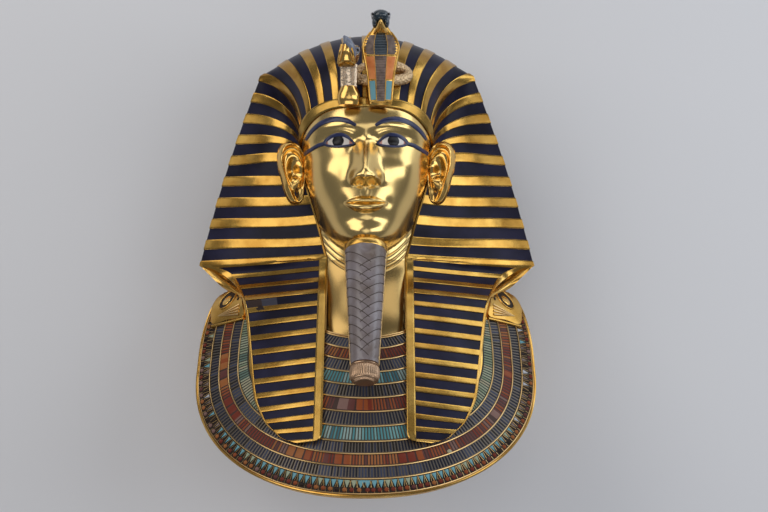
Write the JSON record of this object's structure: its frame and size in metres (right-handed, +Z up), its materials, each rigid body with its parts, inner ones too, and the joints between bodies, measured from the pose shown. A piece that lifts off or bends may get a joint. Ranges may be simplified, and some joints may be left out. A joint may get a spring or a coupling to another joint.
{
  "type": "egyptian mummy mask",
  "caption": "Hollow gold Egyptian funerary mask lying on its back: striped headcloth, cobra and vulture at the brow, plaited beard and broad inlaid collar.",
  "frame": {"origin": "on the surface it rests on, under the middle of the bounding box", "axes": "+Z up out of the face, +Y towards the crown along the mask's length, +X to the viewer's right"},
  "size_m": [0.402, 0.5368, 0.3372],
  "materials": {
    "gold": "polished sheet gold with small dents",
    "gold_animals": "cast and chased gold",
    "pale_gold": "paler gold, burnished",
    "beard_faience": "grey-blue faience inlay in gold cells",
    "quartz": "polished white stone",
    "obsidian": "polished black stone",
    "lapis": "blue stone and glass inlay",
    "carnelian": "red stone and glass inlay",
    "turquoise": "turquoise and green glass inlay"
  },
  "bodies": {
    "root": {"beard": "beard_faience", "cobra": "gold_animals", "collar_row_01": "turquoise", "collar_row_02": "lapis", "collar_row_03": "carnelian", "collar_row_04": "lapis", "collar_row_05": "turquoise", "collar_row_05_left": "turquoise", "collar_row_05_right": "turquoise", "collar_row_06": "lapis", "collar_row_07": "carnelian", "collar_row_08": "lapis", "collar_row_09": "turquoise", "collar_row_10": "lapis", "collar_row_11": "carnelian", "collar_row_12": "lapis", "eye_outline_left": "lapis", "eye_outline_right": "lapis", "eye_white_left": "quartz", "eye_white_right": "quartz", "eyebrow_left": "lapis", "eyebrow_right": "lapis", "face": "pale_gold", "iris_left": "obsidian", "iris_right": "obsidian", "mask_shell": "gold", "vulture_head": "gold_animals"}
  },
  "joints": []
}
